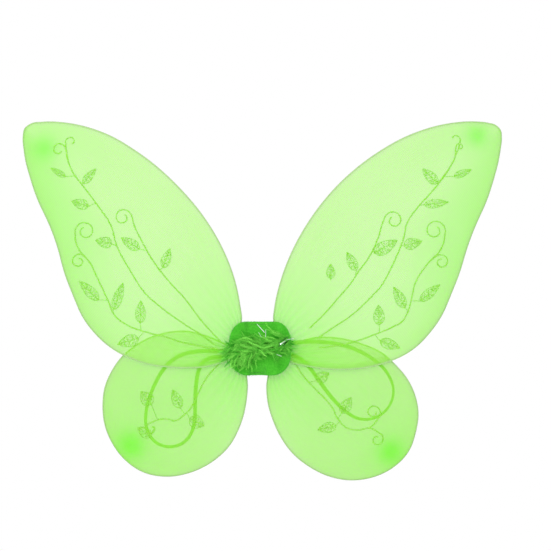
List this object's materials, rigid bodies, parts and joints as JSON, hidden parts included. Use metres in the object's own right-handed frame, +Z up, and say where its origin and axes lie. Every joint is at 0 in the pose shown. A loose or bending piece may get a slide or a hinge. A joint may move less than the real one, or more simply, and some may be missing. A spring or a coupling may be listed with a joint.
{
  "type": "costume fairy wings",
  "caption": "Dress-up butterfly wings: wire loops in sheer green nylon on a felt hub with feather trim and elastic arm loops; the sides fold.",
  "frame": {"origin": "middle of the back felt pad's rear face, where the wings lie against the wearer's back", "axes": "+X to the right seen from the decorated front, +Y out of the rear face towards the wearer, +Z up"},
  "size_m": [0.5636, 0.0281, 0.4228],
  "materials": {
    "nylon_mesh": "sheer knitted nylon, lime green, slight sheen",
    "frame_wire": "spring wire in a pale green coating",
    "tie_thread": "twisted polyester thread, green",
    "cloth_tape": "wound cloth tape, matt",
    "felt": "pressed fibre felt, mid green",
    "elastic_band": "woven flat elastic, bright green",
    "marabou": "dyed marabou down, soft",
    "tinsel": "metallised film strands",
    "glitter_glue": "dried glue beads full of fine green glitter"
  },
  "bodies": {
    "hub": {"hub_wires": "frame_wire", "hub_tape_binding": "cloth_tape", "front_felt_pad": "felt", "back_felt_pad": "felt", "pad_stitching": "tie_thread", "left_arm_loop": "elastic_band", "right_arm_loop": "elastic_band", "left_arm_loop_stitching": "tie_thread", "right_arm_loop_stitching": "tie_thread", "feather_cord": "tie_thread", "feather_plumes": "marabou", "tinsel_strands": "tinsel"},
    "lower_left_wing": {"lower_left_wire_frame": "frame_wire", "lower_left_nylon_skin": "nylon_mesh", "lower_left_gather_tie": "tie_thread"},
    "upper_left_wing": {"upper_left_wire_frame": "frame_wire", "upper_left_nylon_skin": "nylon_mesh", "upper_left_gather_tie": "tie_thread"},
    "lower_right_wing": {"lower_right_wire_frame": "frame_wire", "lower_right_nylon_skin": "nylon_mesh", "lower_right_gather_tie": "tie_thread"},
    "upper_right_wing": {"upper_right_wire_frame": "frame_wire", "upper_right_nylon_skin": "nylon_mesh", "upper_right_gather_tie": "tie_thread"}
  },
  "joints": [
    {"name": "left_wings_fold", "type": "hinge", "parent": "hub", "child": "lower_left_wing", "pos_m": [-0.014, -0.0066, 0], "axis": [0, 0, -1], "range_deg": [-20, 70], "deforming": ["front_felt_pad", "back_felt_pad", "left_arm_loop", "right_arm_loop", "left_arm_loop_stitching", "right_arm_loop_stitching", "feather_cord", "feather_plumes", "tinsel_strands"]},
    {"name": "right_wings_fold", "type": "hinge", "parent": "hub", "child": "lower_right_wing", "pos_m": [0.014, -0.0066, 0], "axis": [0, 0, 1], "range_deg": [-20, 70], "deforming": ["front_felt_pad", "back_felt_pad", "left_arm_loop", "right_arm_loop", "left_arm_loop_stitching", "right_arm_loop_stitching", "feather_cord", "feather_plumes", "tinsel_strands"]},
    {"name": "upper_left_wing_bend", "type": "hinge", "parent": "lower_left_wing", "child": "upper_left_wing", "pos_m": [-0.0154, -0.0082, 0.0037], "axis": [0.698, 0, 0.7161], "range_deg": [0, 12], "deforming": ["front_felt_pad", "back_felt_pad", "left_arm_loop", "right_arm_loop", "left_arm_loop_stitching", "right_arm_loop_stitching", "feather_cord", "feather_plumes", "tinsel_strands"]},
    {"name": "upper_right_wing_bend", "type": "hinge", "parent": "lower_right_wing", "child": "upper_right_wing", "pos_m": [0.0154, -0.0082, 0.0037], "axis": [0.698, 0, -0.7161], "range_deg": [0, 12], "deforming": ["front_felt_pad", "back_felt_pad", "left_arm_loop", "right_arm_loop", "left_arm_loop_stitching", "right_arm_loop_stitching", "feather_cord", "feather_plumes", "tinsel_strands"]}
  ]
}
